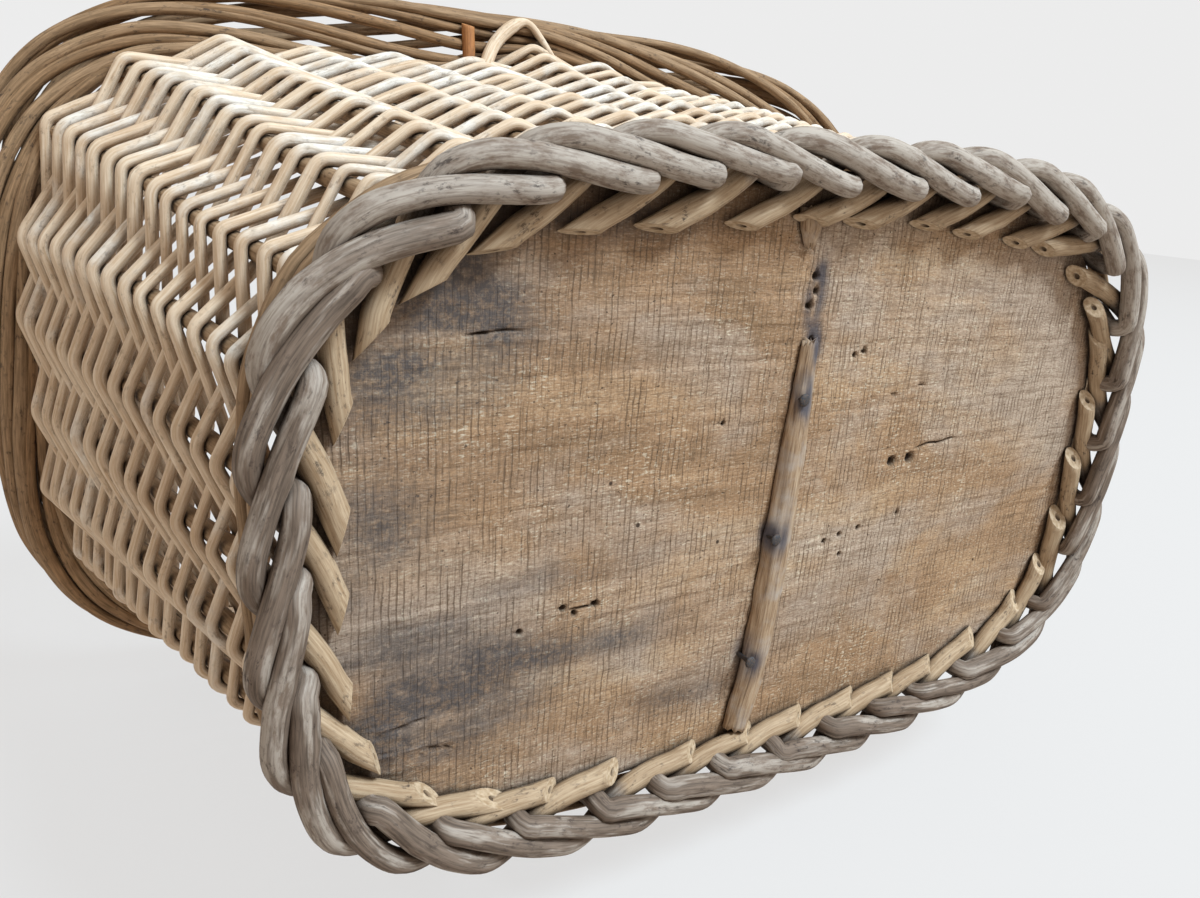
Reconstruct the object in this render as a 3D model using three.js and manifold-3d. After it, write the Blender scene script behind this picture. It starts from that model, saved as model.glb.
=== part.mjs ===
// Woven willow fruit basket, open at the top, on a single-plank base. All sizes in millimetres, +Z up.
// The origin is on the ground, under the middle of the rim border. +X runs along the basket's length.
//
// Each upright stake is a rod of its own. The weaving between the stakes is built as flat corrugated
// hoops, each passing outside one stake and inside the next, in opposite phase to the hoop below it.
// The plaited borders at foot and rim are solid rings with chamfered edges.
import * as THREE from 'three';
import { mergeVertices } from 'three/addons/utils/BufferGeometryUtils.js';
import Module from 'manifold-3d';

// ---- Driving dimensions ----
const TOTAL_HEIGHT = 231;
const OUTLINE_POWER = 3.6;                   // roundness of every plan outline: 2 is an ellipse
const GAP = 0.3;                             // clearance between neighbouring pieces

const FOOT_CENTRE = [-3.5, 8.2];             // the base sits a little off the middle of the rim
const FOOT_BORDER = {
  outer: { halfX: 175, halfY: 109, centre: FOOT_CENTRE },
  inner: { halfX: 155, halfY: 89, centre: FOOT_CENTRE },
  low: 0,
  high: 13.7,
  chamfer: 3.5,
};
const RIM_BORDER = {
  outer: { halfX: 233.6, halfY: 149.4, centre: [0, 0] },
  inner: { halfX: 210, halfY: 121, centre: [0, 3] },
  low: 211,
  high: TOTAL_HEIGHT,
  chamfer: 5,
};
const RING_POINTS = 72;

const BOARD = { halfX: 158.5, halfY: 92.5, centre: FOOT_CENTRE, low: 14, thickness: 12 };

const STAKE_COUNT = 36;
const FIRST_STAKE_SHARE = 0.75;              // the first stake is this share of a step round from +X
const STAKE = { footRadius: 3.25, rimRadius: 2.6, low: 15.3, high: 209.6, sides: 8 };
// The line through the stakes' centres, straight from the foot to the rim.
const WALL_LOW = { z: 14, halfX: 163, halfY: 97, centre: FOOT_CENTRE };
const WALL_HIGH = { z: 211, halfX: 214.6, halfY: 125.4, centre: [0, 3.8] };

const BAND_COUNT = 13;
const BAND = { low: 26.6, high: 210.4, thickness: 2.5, sideStep: 5.0, flatHalf: 2.5, gap: 0.5 };

const BATTEN = { from: [-20.8, 96.3], to: [-6.4, -41.7], width: 11.5, tipWidth: 3.2, depth: 5.2 };
const BATTEN_STUB = { from: [-12.2, -80], to: [-10.8, -70], width: 8, tipWidth: 5, depth: 3.6 };
const NAIL = { headRadius: 2.2, headHeight: 0.8, shankRadius: 0.9, length: 13, tip: 2, sides: 10 };
const NAIL_SHARES = [0.2, 0.52, 0.86];       // where the nails sit along the batten

const HANDLE_PEG = { from: [-40.7, -128.6, 204.8], to: [-40, -141, 207.6], radius: 2.7, sides: 8 };
const HANDLE_LOOP = {
  radius: 2.3,
  path: [[-34.5, -130.8, 203], [-28, -137.6, 205.5], [-19.5, -144, 207.4], [-10, -145.6, 207.6],
    [-2.5, -142.6, 206.6], [3, -136.8, 205], [5, -130.8, 203]],
  steps: 14,
};

// ---- Materials ----
const COLOURS = {
  board: 0xa8835c,
  weatheredWillow: 0x8f8172,
  rimWillow: 0x94764f,
  stakeWillow: 0xb08c63,
  weaverWillow: 0xe2cfb0,
  batten: 0x8f6f50,
  nail: 0x3a3a40,
};

// ---- Plan outlines ----
function outlinePoint(halfX, halfY, angle) {
  const c = Math.cos(angle);
  const s = Math.sin(angle);
  const x = halfX * Math.sign(c) * Math.abs(c) ** (2 / OUTLINE_POWER);
  const y = halfY * Math.sign(s) * Math.abs(s) ** (2 / OUTLINE_POWER);
  return new THREE.Vector2(x, y);
}

// Angles at which an outline is cut into `count` equal lengths.
function equalSteps(halfX, halfY, count, firstShare = 0) {
  const fine = 7200;                         // short chords the outline is measured with
  const lengths = [0];
  let previous = outlinePoint(halfX, halfY, 0);
  for (let i = 1; i <= fine; i += 1) {
    const next = outlinePoint(halfX, halfY, (2 * Math.PI * i) / fine);
    lengths.push(lengths[i - 1] + next.distanceTo(previous));
    previous = next;
  }
  const angles = [];
  let i = 0;
  for (let k = 0; k < count; k += 1) {
    const target = ((k + firstShare) / count) * lengths[fine];
    while (lengths[i + 1] < target) i += 1;
    const share = (target - lengths[i]) / (lengths[i + 1] - lengths[i]);
    angles.push((2 * Math.PI * (i + share)) / fine);
  }
  return angles;
}

function outline({ halfX, halfY, centre }) {
  const shift = new THREE.Vector2(...centre);
  const angles = equalSteps(halfX, halfY, RING_POINTS);
  return angles.map((angle) => outlinePoint(halfX, halfY, angle).add(shift));
}

// Outward unit normal of an outline at an angle.
function outlineNormal(halfX, halfY, angle) {
  const p = outlinePoint(halfX, halfY, angle);
  const power = OUTLINE_POWER - 1;
  const nx = (Math.sign(p.x) * (Math.abs(p.x) / halfX) ** power) / halfX;
  const ny = (Math.sign(p.y) * (Math.abs(p.y) / halfY) ** power) / halfY;
  return new THREE.Vector2(nx, ny).normalize();
}

// ---- The flared wall: half sizes and centre of the stake line at a height ----
function wallAt(z) {
  const share = (z - WALL_LOW.z) / (WALL_HIGH.z - WALL_LOW.z);
  const mix = THREE.MathUtils.lerp;
  return {
    halfX: mix(WALL_LOW.halfX, WALL_HIGH.halfX, share),
    halfY: mix(WALL_LOW.halfY, WALL_HIGH.halfY, share),
    centre: new THREE.Vector2(...WALL_LOW.centre).lerp(new THREE.Vector2(...WALL_HIGH.centre), share),
  };
}

const STAKE_ANGLES = equalSteps(WALL_LOW.halfX, WALL_LOW.halfY, STAKE_COUNT, FIRST_STAKE_SHARE);

function stakePoint(index, z) {
  const wall = wallAt(z);
  const p = outlinePoint(wall.halfX, wall.halfY, STAKE_ANGLES[index]).add(wall.centre);
  return new THREE.Vector3(p.x, p.y, z);
}

// ---- Solids joined and cut with manifold-3d ----
const wasm = await Module();
wasm.setup();

function toSolid(geometry) {
  const bare = geometry.index ? geometry.toNonIndexed() : geometry.clone();
  bare.deleteAttribute('normal');
  bare.deleteAttribute('uv');
  const merged = mergeVertices(bare, 1e-4);
  return new wasm.Manifold(new wasm.Mesh({
    numProp: 3,
    vertProperties: new Float32Array(merged.attributes.position.array),
    triVerts: new Uint32Array(merged.index.array),
  }));
}

function toGeometry(solid) {
  const mesh = solid.getMesh();
  const geometry = new THREE.BufferGeometry();
  geometry.setAttribute('position', new THREE.BufferAttribute(mesh.vertProperties, mesh.numProp));
  geometry.setIndex(new THREE.BufferAttribute(mesh.triVerts, 1));
  geometry.computeVertexNormals();
  return geometry;
}

function cut(geometry, ...tools) {
  return toGeometry(tools.reduce((solid, tool) => solid.subtract(toSolid(tool)), toSolid(geometry)));
}

// ---- Shared shapes ----
// A ring between two outlines, with all four edges chamfered.
function borderRing({ outer, inner, low, high, chamfer }) {
  const ring = new THREE.Shape(outline(outer));
  ring.holes.push(new THREE.Path(outline(inner)));
  const geometry = new THREE.ExtrudeGeometry(ring, {
    depth: high - low - 2 * chamfer,
    bevelThickness: chamfer,
    bevelSize: chamfer,
    bevelOffset: -chamfer,
    bevelSegments: 1,
  });
  return geometry.translate(0, 0, low + chamfer);
}

// A straight round rod between two points.
function rod(start, end, startRadius, endRadius, sides) {
  const along = end.clone().sub(start);
  const geometry = new THREE.CylinderGeometry(endRadius, startRadius, along.length(), sides);
  const turn = new THREE.Quaternion().setFromUnitVectors(new THREE.Vector3(0, 1, 0), along.normalize());
  const middle = start.clone().add(end).multiplyScalar(0.5);
  return geometry.applyQuaternion(turn).translate(middle.x, middle.y, middle.z);
}

// How wide and deep a split rod is at a share of its length, tapering slowly and then fast.
function splitRodSize({ width, tipWidth, depth }, share) {
  const widthScale = THREE.MathUtils.lerp(1, tipWidth / width, share ** 2);
  return { widthScale, depth: depth * (1 + widthScale) / 2 };
}

// A split rod with its flat side up against the underside of the board and its round side down.
function splitRod(size) {
  const start = new THREE.Vector3(...size.from, BOARD.low - GAP);
  const end = new THREE.Vector3(...size.to, BOARD.low - GAP);
  const along = end.clone().sub(start);
  const length = along.length();
  const section = new THREE.Shape();
  section.absellipse(0, 0, size.width / 2, size.depth, 0, Math.PI);
  const geometry = new THREE.ExtrudeGeometry(section, {
    depth: length,
    steps: 4,
    bevelEnabled: false,
    curveSegments: 8,
  });
  const position = geometry.attributes.position;
  for (let i = 0; i < position.count; i += 1) {
    const { widthScale, depth } = splitRodSize(size, position.getZ(i) / length);
    position.setX(i, position.getX(i) * widthScale);
    position.setY(i, position.getY(i) * (depth / size.depth));
  }
  const down = new THREE.Vector3(0, 0, -1);
  along.normalize();
  const side = new THREE.Vector3().crossVectors(down, along);
  return geometry.applyMatrix4(new THREE.Matrix4().makeBasis(side, down, along).setPosition(start));
}

// ---- Nails, driven up through the batten into the board ----
function nailHeadTop(share) {
  const x = THREE.MathUtils.lerp(BATTEN.from[0], BATTEN.to[0], share);
  const y = THREE.MathUtils.lerp(BATTEN.from[1], BATTEN.to[1], share);
  const z = BOARD.low - 2 * GAP - splitRodSize(BATTEN, share).depth;
  return new THREE.Vector3(x, y, z);
}

function nail(share) {
  const { headRadius, headHeight, shankRadius, length, tip, sides } = NAIL;
  const profile = [
    new THREE.Vector2(0, -headHeight),
    new THREE.Vector2(headRadius, -headHeight),
    new THREE.Vector2(headRadius, 0),
    new THREE.Vector2(shankRadius, 0),
    new THREE.Vector2(shankRadius, length - tip),
    new THREE.Vector2(0, length),
  ];
  const { x, y, z } = nailHeadTop(share);
  return new THREE.LatheGeometry(profile, sides).rotateX(Math.PI / 2).translate(x, y, z);
}

// The hole a nail's shank sits in, from the batten's round side up past the nail's tip.
function nailHole(share) {
  const start = nailHeadTop(share);
  const end = start.clone();
  start.z -= GAP;
  end.z += NAIL.length + GAP;
  const radius = NAIL.shankRadius + GAP;
  return rod(start, end, radius, radius, NAIL.sides);
}

// ---- Base pieces ----
function baseBoard() {
  const plank = new THREE.Shape(outline(BOARD));
  const geometry = new THREE.ExtrudeGeometry(plank, { depth: BOARD.thickness, bevelEnabled: false });
  return cut(geometry.translate(0, 0, BOARD.low), ...NAIL_SHARES.map(nailHole));
}

function batten() {
  return cut(splitRod(BATTEN), ...NAIL_SHARES.map(nailHole));
}

// ---- Wall pieces ----
function stake(index) {
  const { low, high, footRadius, rimRadius, sides } = STAKE;
  return rod(stakePoint(index, low), stakePoint(index, high), footRadius, rimRadius, sides);
}

// One side of a corrugated hoop, as a closed plan line that steps out past one stake and in past the next.
function bandLine(index, z, offset) {
  const wall = wallAt(z);
  const points = [];
  STAKE_ANGLES.forEach((angle, stakeIndex) => {
    const centre = outlinePoint(wall.halfX, wall.halfY, angle).add(wall.centre);
    const out = outlineNormal(wall.halfX, wall.halfY, angle);
    const along = new THREE.Vector2(-out.y, out.x);
    const side = (stakeIndex + index) % 2 === 0 ? 1 : -1;
    [-1, 1].forEach((end) => {
      const point = centre.clone().addScaledVector(out, side * BAND.sideStep + offset);
      points.push(point.addScaledVector(along, end * BAND.flatHalf));
    });
  });
  return points;
}

// A corrugated hoop, extruded upright and then leaned outwards with the wall.
function weaveBand(index) {
  const pitch = (BAND.high - BAND.low) / BAND_COUNT;
  const low = BAND.low + index * pitch;
  const height = pitch - BAND.gap;
  const middle = wallAt(low + height / 2);
  const ring = new THREE.Shape(bandLine(index, low + height / 2, BAND.thickness / 2));
  ring.holes.push(new THREE.Path(bandLine(index, low + height / 2, -BAND.thickness / 2)));
  const geometry = new THREE.ExtrudeGeometry(ring, { depth: height, bevelEnabled: false });
  const position = geometry.attributes.position;
  for (let i = 0; i < position.count; i += 1) {
    const here = wallAt(low + position.getZ(i));
    const x = (position.getX(i) - middle.centre.x) * (here.halfX / middle.halfX) + here.centre.x;
    const y = (position.getY(i) - middle.centre.y) * (here.halfY / middle.halfY) + here.centre.y;
    position.setXY(i, x, y);
  }
  return geometry.translate(0, 0, low);
}

// ---- What is left of a handle, under the rim border ----
function handlePeg() {
  const { from, to, radius, sides } = HANDLE_PEG;
  return rod(new THREE.Vector3(...from), new THREE.Vector3(...to), radius, radius, sides);
}

function handleLoop() {
  const { path, radius, steps } = HANDLE_LOOP;
  const curve = new THREE.CatmullRomCurve3(path.map((point) => new THREE.Vector3(...point)));
  const section = new THREE.Shape();
  section.absarc(0, 0, radius, 0, 2 * Math.PI);
  return new THREE.ExtrudeGeometry(section, { steps, extrudePath: curve, curveSegments: 4 });
}

// ---- Assembly ----
const basket = new THREE.Group();
basket.name = 'woven_fruit_basket';

function add(name, geometry, colour, roughness = 0.85, metalness = 0) {
  const material = new THREE.MeshStandardMaterial({ color: colour, roughness, metalness });
  const mesh = new THREE.Mesh(geometry, material);
  mesh.name = name;
  basket.add(mesh);
}

function numbered(name, index) {
  return `${name}_${String(index + 1).padStart(2, '0')}`;
}

add('base_board', baseBoard(), COLOURS.board);
add('foot_border', borderRing(FOOT_BORDER), COLOURS.weatheredWillow);
add('batten', batten(), COLOURS.batten);
add('batten_stub', splitRod(BATTEN_STUB), COLOURS.batten);
NAIL_SHARES.forEach((share, i) => add(`nail_${i + 1}`, nail(share), COLOURS.nail, 0.5, 0.8));
for (let i = 0; i < STAKE_COUNT; i += 1) add(numbered('stake', i), stake(i), COLOURS.stakeWillow);
for (let i = 0; i < BAND_COUNT; i += 1) add(numbered('weave_band', i), weaveBand(i), COLOURS.weaverWillow);
add('rim_border', borderRing(RIM_BORDER), COLOURS.rimWillow);
add('handle_peg', handlePeg(), COLOURS.rimWillow);
add('handle_loop', handleLoop(), COLOURS.weaverWillow);

export default basket;
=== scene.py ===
"""A woven willow fruit basket on a plank base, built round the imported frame.

Lengths are millimetres in the frame's axes until a mesh is made. Places round the basket are given
in stake steps: 0 is the first stake, and one step is the way to the next one, counter-clockwise
from above.
"""

import math

import bpy
import numpy as np
from mathutils import Matrix, Vector


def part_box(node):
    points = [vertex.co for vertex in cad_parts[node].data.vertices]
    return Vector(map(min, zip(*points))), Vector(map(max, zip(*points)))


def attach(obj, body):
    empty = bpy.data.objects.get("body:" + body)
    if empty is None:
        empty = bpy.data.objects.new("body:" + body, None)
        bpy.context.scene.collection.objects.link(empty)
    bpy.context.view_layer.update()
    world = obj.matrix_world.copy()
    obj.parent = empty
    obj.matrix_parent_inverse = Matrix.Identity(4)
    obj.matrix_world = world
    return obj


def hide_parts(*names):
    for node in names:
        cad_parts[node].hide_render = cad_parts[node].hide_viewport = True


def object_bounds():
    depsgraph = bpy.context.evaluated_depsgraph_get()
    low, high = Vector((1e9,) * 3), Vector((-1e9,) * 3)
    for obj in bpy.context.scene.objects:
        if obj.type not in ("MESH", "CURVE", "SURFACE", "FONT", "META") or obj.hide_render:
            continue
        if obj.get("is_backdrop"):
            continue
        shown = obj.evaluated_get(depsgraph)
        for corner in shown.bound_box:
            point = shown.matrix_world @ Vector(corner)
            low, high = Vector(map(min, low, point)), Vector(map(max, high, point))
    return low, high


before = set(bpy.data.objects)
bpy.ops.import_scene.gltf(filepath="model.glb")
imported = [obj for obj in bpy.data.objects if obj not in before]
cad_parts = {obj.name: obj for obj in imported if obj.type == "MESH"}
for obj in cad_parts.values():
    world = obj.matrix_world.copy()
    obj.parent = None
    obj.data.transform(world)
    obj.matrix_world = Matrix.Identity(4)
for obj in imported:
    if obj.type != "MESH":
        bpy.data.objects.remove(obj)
CAD_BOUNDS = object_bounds()

# ---- Driving dimensions ----
MM = 0.001
OUTLINE_POWER = 3.6  # roundness of every plan outline: 2 is an ellipse
OUTLINE_SAMPLES = 28801  # points used to measure the way round an outline
FIRST_STAKE = 0.75  # the first stake is this share of a step round from +X
STAKES = sorted(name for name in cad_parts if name.startswith("stake_"))
BANDS = sorted(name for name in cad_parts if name.startswith("weave_band_"))
NAIL_NODES = ("nail_1", "nail_2", "nail_3")
STAKE_COUNT = len(STAKES)

BOARD_TO_STAKES = 4.5  # from the plank's edge out to the stakes' centres at the foot
RIM_TO_STAKES = (19.0, 24.0)  # from the rim border's outside in to the stakes' centres at the rim
RIM_LEAN = (0.0, 3.8)  # how far the stakes' ring is off the rim border's middle
WALL_LOW, WALL_HIGH = 14.0, 211.0

FOOT_ROD_RADIUS = 3.5
STAKE_RADIUS = (2.8, 2.3)  # in the wall, low and high
RIM_ROD_RADIUS = 2.5
WEAVER_RADIUS = (1.75, 2.1)  # in the lowest row and in the highest
ROW_LOW, ROW_HIGH, ROW_COUNT = 28.2, 204.0, 31
PLANK_OVERHANG = 3.3  # the plank reaches out to the stakes' inner sides


def box_mm(node):
    low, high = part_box(node)
    return np.array(low) / MM, np.array(high) / MM


def plan_of(node):
    """Half sizes and centre of a node's plan."""
    low, high = box_mm(node)
    return (high - low)[:2] / 2, (high + low)[:2] / 2


BOARD_HALF, BOARD_CENTRE = plan_of("base_board")
RIM_HALF, RIM_CENTRE = plan_of("rim_border")
BOARD_LOW, BOARD_HIGH = box_mm("base_board")[0][2], box_mm("base_board")[1][2]
FOOT_LINE = BOARD_HALF + BOARD_TO_STAKES
TOP_LINE = RIM_HALF - np.array(RIM_TO_STAKES)
TOP_CENTRE = RIM_CENTRE + np.array(RIM_LEAN)
RIM_EDGE = RIM_HALF - RIM_ROD_RADIUS


# ---- Random numbers that repeat ----
def rng(*key):
    return np.random.default_rng(list(key))


def eased(share):
    return share * share * (3 - 2 * share)


def rising(value, start, end):
    """0 up to the start, and 1 from the end on."""
    return np.clip((value - start) / (end - start), 0, 1)


def wander(distance, spacing, seed, count=1, length=None):
    """Smooth random curves: `count` values in -1..1 at each distance along."""
    length = length or distance[-1] + 1
    knots = rng(*seed).uniform(-1, 1, (int(length / spacing) + 4, count))
    at = np.clip(distance / spacing, 0, len(knots) - 2.001)
    i = at.astype(int)
    f = eased(at - i)[..., None]
    return knots[i] * (1 - f) + knots[i + 1] * f


def wander_once(random, size):
    """One value up to `size` either way, mostly small."""
    return np.clip(random.normal(0, 0.5), -1, 1) * size


LATTICE = rng(99).uniform(-1, 1, (256, 256))


def plane_noise(x, y, cell, shift=0):
    """Smooth noise in -1..1 over a plane, with features about one cell wide."""
    gx, gy = x / cell + shift * 17.3, y / cell + shift * 41.7
    ix, iy = np.floor(gx).astype(int), np.floor(gy).astype(int)
    fx, fy = eased(gx - ix), eased(gy - iy)
    corner = lambda a, b: LATTICE[(ix + a) % 256, (iy + b) % 256]
    low = corner(0, 0) * (1 - fx) + corner(1, 0) * fx
    high = corner(0, 1) * (1 - fx) + corner(1, 1) * fx
    return low * (1 - fy) + high * fy


# ---- The plan outline, measured in stake steps ----
def unit_outline(angle):
    c, s = np.cos(angle), np.sin(angle)
    share = 2 / OUTLINE_POWER
    return np.stack([np.sign(c) * np.abs(c) ** share, np.sign(s) * np.abs(s) ** share], -1)


def step_table():
    """Places round the foot outline in stake steps, and the outline's points there."""
    unit = unit_outline(np.linspace(0, 2 * np.pi, OUTLINE_SAMPLES))
    chords = np.linalg.norm(np.diff(unit * FOOT_LINE, axis=0), axis=1)
    along = np.concatenate([[0], np.cumsum(chords)])
    return along / along[-1] * STAKE_COUNT, unit


STEP_AT, UNIT_AT = step_table()


def on_unit(step):
    """The point of the unit outline at a place round the basket."""
    at = np.mod(step + FIRST_STAKE, STAKE_COUNT)
    unit = np.stack([np.interp(at, STEP_AT, UNIT_AT[:, i]) for i in (0, 1)], -1)
    size = (np.abs(unit) ** OUTLINE_POWER).sum(-1, keepdims=True) ** (1 / OUTLINE_POWER)
    return unit / size


def outward(step, half):
    """The way out, square to an outline of these half sizes."""
    unit = on_unit(step)
    return unit_rows(np.sign(unit) * np.abs(unit) ** (OUTLINE_POWER - 1) / half)


# Where the wall stands out at the top: at the square corner, and beside what is left of the handle.
# Middle and reach in steps, how far out, and the power of its growth with height.
WALL_BULGES = ((21.15, 1.45, 9.8, 1.6), (26.3, 1.1, 11.5, 5.0))


def hump(at, middle, reach):
    """1 at the middle, and near 0 beyond its reach."""
    return np.exp(-(((at - middle) / reach) ** 2))


def wall_bulge(step, z):
    share = rising(z, WALL_LOW, ROW_HIGH)
    around = np.mod(step, STAKE_COUNT)
    return sum(size * hump(around, middle, reach) * share ** power
               for middle, reach, size, power in WALL_BULGES)


def wall_point(step, z, out=0.0):
    """A point of the flared wall: on the stakes' line at a height, moved outwards."""
    step, z, out = np.broadcast_arrays(step, z, out)
    share = ((z - WALL_LOW) / (WALL_HIGH - WALL_LOW))[..., None]
    half = FOOT_LINE + (TOP_LINE - FOOT_LINE) * share
    centre = BOARD_CENTRE + (TOP_CENTRE - BOARD_CENTRE) * share
    out = out + wall_bulge(step, z)
    plan = centre + on_unit(step) * half + outward(step, half) * out[..., None]
    return np.concatenate([plan, z[..., None]], -1)


STAKE_BOW = (20.5, 8.5, 1.9)  # the stakes' bow at the plank: its height, reach and size
STAKE_SWAY = 0.09  # how far a stake strays from its place, in steps


def stake_bow(z):
    """The stakes bow out a little round the plank's edge."""
    middle, reach, size = STAKE_BOW
    return size * hump(z, middle, reach)


def stake_step(index, z):
    """Where a stake stands at a height: hand work leaves it a little off its even place."""
    return index + STAKE_SWAY * wander(z, 70, (1, index), length=240)[..., 0]


# ---- Curves ----
DOWN = np.array([0, 0, -1.0])


def between(a, b, start, end, t):
    return (end - t) / (end - start) * a + (t - start) / (end - start) * b


def smooth_path(points, spacing):
    """A centripetal Catmull-Rom curve through points, sampled about every `spacing`."""
    points = np.asarray(points, float)
    ends = [2 * points[0] - points[1]], [2 * points[-1] - points[-2]]
    p = np.concatenate([ends[0], points, ends[1]])
    out = []
    for i in range(1, len(p) - 2):
        a, b, c, d = p[i - 1 : i + 3]
        t0 = 0.0
        t1 = t0 + math.sqrt(np.linalg.norm(b - a))
        t2 = t1 + math.sqrt(np.linalg.norm(c - b))
        t3 = t2 + math.sqrt(np.linalg.norm(d - c))
        count = max(2, int(math.ceil(np.linalg.norm(c - b) / spacing)))
        t = np.linspace(t1, t2, count, endpoint=False)[:, None]
        first = between(a, b, t0, t1, t)
        middle = between(b, c, t1, t2, t)
        last = between(c, d, t2, t3, t)
        lower = between(first, middle, t0, t2, t)
        upper = between(middle, last, t1, t3, t)
        out.append(between(lower, upper, t1, t2, t))
    out.append(points[-1:])
    return np.concatenate(out)


def lengths_along(path):
    return np.concatenate([[0], np.cumsum(np.linalg.norm(np.diff(path, axis=0), axis=1))])


def unit_rows(vectors):
    return vectors / np.linalg.norm(vectors, axis=-1, keepdims=True)


def directions(path, closed=False):
    if closed:
        d = np.roll(path, -1, axis=0) - np.roll(path, 1, axis=0)
    else:
        d = np.gradient(path, axis=0)
    return unit_rows(d)


def carried_axes(direction, first):
    """Side axes carried along a path without twist, starting from `first`."""
    side = np.zeros_like(direction)
    last = np.asarray(first, float)
    for i, d in enumerate(direction):
        last = last - d * (last @ d)
        last = last / np.linalg.norm(last)
        side[i] = last
    return side, np.cross(direction, side)


def level_axes(direction):
    """Side axes of a rod that lies about level: sideways, and upwards or downwards."""
    side = unit_rows(np.cross(direction, (0, 0, 1.0)))
    return side, np.cross(direction, side)


# ---- Mesh building ----
def add_object(name, data):
    made = bpy.data.objects.new(name, data)
    bpy.context.scene.collection.objects.link(made)
    return made


class MeshParts:
    """Vertices, faces and point attributes gathered for one piece."""

    FLOATS = ("age", "cut", "core", "brown")

    def __init__(self):
        self.points, self.grain, self.floats = [], [], {name: [] for name in self.FLOATS}
        self.faces, self.flat, self.count = [], [], 0

    def add(self, points, grain, **floats):
        start = self.count
        n = len(points)
        self.points.append(points)
        self.grain.append(grain)
        for name in self.FLOATS:
            self.floats[name].append(np.broadcast_to(floats.get(name, 0.0), (n,)))
        self.count += n
        return start

    def add_faces(self, faces, flat=False):
        self.faces.append(faces)
        self.flat.append(np.full(len(faces), flat))

    def quads(self, start_a, start_b, n, flat=False):
        """Faces between two rings of n points."""
        i = np.arange(n)
        j = (i + 1) % n
        self.add_faces(np.stack([start_a + i, start_a + j, start_b + j, start_b + i], -1), flat)

    def skin(self, first, rings, n):
        """Faces along a row of rings that begins at a point's number."""
        for i in range(rings - 1):
            self.quads(first + i * n, first + (i + 1) * n, n)

    def object(self, name, material, slot, *replaced):
        """Makes the piece, which takes the place of the frame's nodes `replaced`."""
        mesh = bpy.data.meshes.new(name)
        points = np.concatenate(self.points) * MM
        faces = np.concatenate(self.faces)
        mesh.vertices.add(len(points))
        mesh.vertices.foreach_set("co", points.astype(np.float32).ravel())
        mesh.loops.add(faces.size)
        mesh.loops.foreach_set("vertex_index", faces.astype(np.int32).ravel())
        mesh.polygons.add(len(faces))
        mesh.polygons.foreach_set("loop_start", np.arange(0, faces.size, 4, dtype=np.int32))
        mesh.polygons.foreach_set("loop_total", np.full(len(faces), 4, dtype=np.int32))
        mesh.update(calc_edges=True)
        grain = mesh.attributes.new("grain", "FLOAT_VECTOR", "POINT")
        grain.data.foreach_set("vector", (np.concatenate(self.grain) * MM).astype(np.float32).ravel())
        for key in self.FLOATS:
            layer = mesh.attributes.new(key, "FLOAT", "POINT")
            layer.data.foreach_set("value", np.concatenate(self.floats[key]).astype(np.float32))
        flat = mesh.attributes.new("sharp_face", "BOOLEAN", "FACE")
        flat.data.foreach_set("value", np.concatenate(self.flat))
        mesh.validate()
        mesh.materials.append(material)
        piece = add_object(name, mesh)
        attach(piece, "root")
        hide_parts(*replaced)


def round_section(sides):
    angle = np.linspace(0, 2 * np.pi, sides, endpoint=False)
    return np.stack([np.cos(angle), np.sin(angle)], -1)


def swept(path, side, lift, across):
    """Rings of points along a path, and the place of each in the wood: across the rod and along it."""
    points = path[:, None] + side[:, None] * across[..., :1] + lift[:, None] * across[..., 1:]
    along = np.broadcast_to(lengths_along(path)[:, None, None], (*across.shape[:2], 1))
    return points, np.concatenate([across, along], -1)


def add_tube(parts, path, radius, axes, grain_shift, closed=False, age=0.0, brown=0.0,
             cuts=(None, None)):
    """A tube. `radius` is (n, sides), and `cuts` are the normals of the cuts at its ends."""
    n, sides = radius.shape
    direction = directions(path, closed)
    points, grain = swept(path, *axes, round_section(sides)[None] * radius[..., None])
    grain = grain + grain_shift
    for end, cut in ((0, cuts[0]), (n - 1, cuts[1])):
        if cut is not None:
            away = (points[end] - path[end]) @ cut
            points[end] -= direction[end] * (away / (direction[end] @ cut))[:, None]
    age, brown = np.broadcast_to(age, (n,)), np.broadcast_to(brown, (n,))
    first = parts.add(points.reshape(-1, 3), grain.reshape(-1, 3), age=np.repeat(age, sides),
                      brown=np.repeat(brown, sides))
    parts.skin(first, n, sides)
    if closed:
        parts.quads(first + (n - 1) * sides, first, sides)
        return
    for end, inward, flip in ((0, direction[0], True), (n - 1, -direction[-1], False)):
        add_cut_end(parts, points[end], grain[end], inward, first + end * sides, flip, age[end])


# Rings of a cut face: share of the rod's radius, and how far sunk as a share of it.
CUT_RINGS = ((0.97, -0.02), (0.6, 0.0), (0.3, 0.0), (0.24, 0.16), (0.02, 0.2))


def add_cut_end(parts, rim, grain, inward, rim_start, flip, age):
    """A cut face across a rod: wood, and a small sunk pith in the middle."""
    sides = len(rim)
    centre, grain_centre = rim.mean(0), grain.mean(0)
    size = np.linalg.norm(rim - centre, axis=1).mean()
    last = rim_start
    for share, depth in CUT_RINGS:
        points = centre + (rim - centre) * share + inward * (depth * size)
        marks = grain_centre + (grain - grain_centre) * share
        start = parts.add(points, marks, age=age, cut=1.0, core=share)
        parts.quads(*((start, last) if flip else (last, start)), sides, flat=True)
        last = start
    i = np.arange(sides // 2 - 1)
    cap = np.stack([last + i, last + i + 1, last + sides - 2 - i, last + sides - 1 - i], -1)
    parts.add_faces(cap[:, ::-1] if flip else cap, flat=True)


KNOT_SPACING, KNOT_STRAY, KNOT_REACH, KNOT_SIZE = 70.0, 15, 2.2, 0.11


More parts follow.
